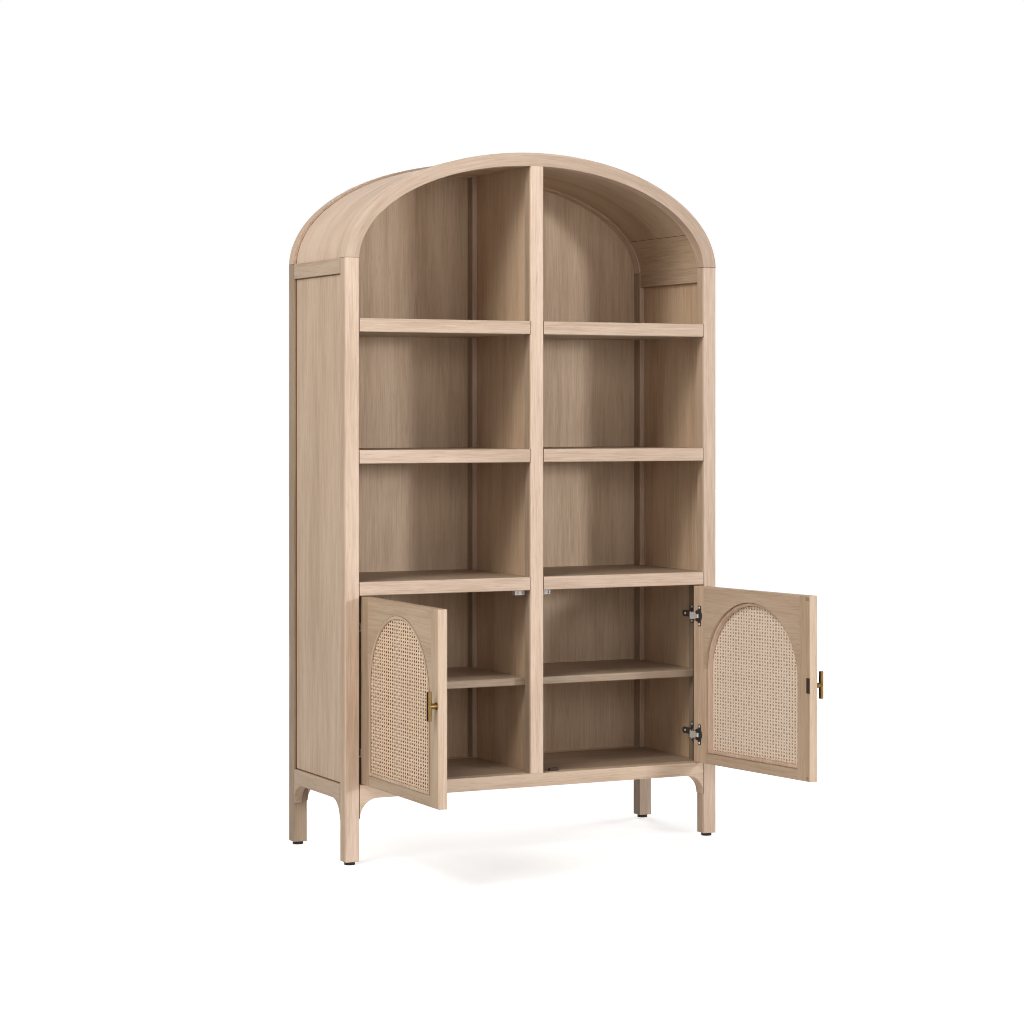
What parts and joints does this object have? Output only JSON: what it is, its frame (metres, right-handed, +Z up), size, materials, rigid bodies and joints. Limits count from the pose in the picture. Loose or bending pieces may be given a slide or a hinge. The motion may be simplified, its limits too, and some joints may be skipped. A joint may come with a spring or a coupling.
{
  "type": "arched bookcase with cane doors",
  "caption": "Arched-top pale oak bookcase on short legs: open shelves either side of a divider over a cupboard whose framed doors hold arched woven-cane panels.",
  "frame": {"origin": "on the floor, in the middle of the four legs", "axes": "+X to the right as seen from the front, +Y to the back, +Z up"},
  "size_m": [1.2183, 0.9382, 1.968],
  "materials": {
    "oak": "whitewashed, matt",
    "cane": "woven natural cane",
    "antique_brass": "antiqued satin",
    "black_metal": "satin black",
    "bright_steel": "nickel plated",
    "catch_grey": "matt",
    "foot_black": "matt"
  },
  "bodies": {
    "case": {"arch_crown_liner": "oak", "arch_outer_skin": "oak", "back_panel": "oak", "divider_front_stile": "oak", "divider_panel": "oak", "divider_rear_stile": "oak", "foot_glides": "foot_black", "front_arch_rail": "oak", "front_bottom_rail": "oak", "front_left_post": "oak", "front_right_post": "oak", "hinge_arms": "black_metal", "hinge_battens": "oak", "hinge_plates": "black_metal", "left_bottom_side_rail": "oak", "left_cupboard_floor": "oak", "left_haunch_liner": "oak", "left_side_panel": "oak", "left_top_side_rail": "oak", "lower_left_shelf": "oak", "lower_right_shelf": "oak", "magnetic_catches": "catch_grey", "middle_left_shelf": "oak", "middle_right_shelf": "oak", "rear_arch_rail": "oak", "rear_bottom_rail": "oak", "rear_left_post": "oak", "rear_right_post": "oak", "right_bottom_side_rail": "oak", "right_cupboard_floor": "oak", "right_haunch_liner": "oak", "right_side_panel": "oak", "right_top_side_rail": "oak", "shelf_pegs": "bright_steel", "upper_left_shelf": "oak", "upper_right_shelf": "oak"},
    "left_door": {"left_door_beads": "oak", "left_door_bottom_rail": "oak", "left_door_buttons": "bright_steel", "left_door_cane": "cane", "left_door_hinge_stile": "oak", "left_door_lock_stile": "oak", "left_door_pull": "antique_brass", "left_door_pull_plate": "black_metal", "left_door_top_rail": "oak", "left_hinge_cups": "black_metal"},
    "right_door": {"right_door_beads": "oak", "right_door_bottom_rail": "oak", "right_door_buttons": "bright_steel", "right_door_cane": "cane", "right_door_hinge_stile": "oak", "right_door_lock_stile": "oak", "right_door_pull": "antique_brass", "right_door_pull_plate": "black_metal", "right_door_top_rail": "oak", "right_hinge_cups": "black_metal"},
    "left_links": {"left_hinge_links": "bright_steel"},
    "right_links": {"right_hinge_links": "bright_steel"},
    "left_loose_shelf": {"left_adjustable_shelf": "oak"},
    "right_loose_shelf": {"right_adjustable_shelf": "oak"}
  },
  "joints": [
    {"name": "left_door_hinge", "type": "hinge", "parent": "case", "child": "left_door", "pos_m": [-0.536, -0.2125, 0.47575], "axis": [0, 0, -1], "range_deg": [-90.5, 14.5]},
    {"name": "left_link_pivot", "type": "hinge", "parent": "left_door", "child": "left_links", "pos_m": [-0.50618, -0.23276, 0.47575], "axis": [0, 0, -1], "range_deg": [-14.5, 90.5]},
    {"name": "left_shelf_lift", "type": "slide", "parent": "case", "child": "left_loose_shelf", "axis": [0, 0, 1], "range_m": [0, 0.12]},
    {"name": "right_door_hinge", "type": "hinge", "parent": "case", "child": "right_door", "pos_m": [0.536, -0.2125, 0.47575], "axis": [0, 0, 1], "range_deg": [-98, 7]},
    {"name": "right_link_pivot", "type": "hinge", "parent": "right_door", "child": "right_links", "pos_m": [0.50908, -0.23648, 0.47575], "axis": [0, 0, 1], "range_deg": [-7, 98]},
    {"name": "right_shelf_lift", "type": "slide", "parent": "case", "child": "right_loose_shelf", "axis": [0, 0, 1], "range_m": [0, 0.12]}
  ],
  "couplings": [
    {"joint": "left_link_pivot", "follows": "left_door_hinge", "ratio": -1},
    {"joint": "right_link_pivot", "follows": "right_door_hinge", "ratio": -1}
  ]
}
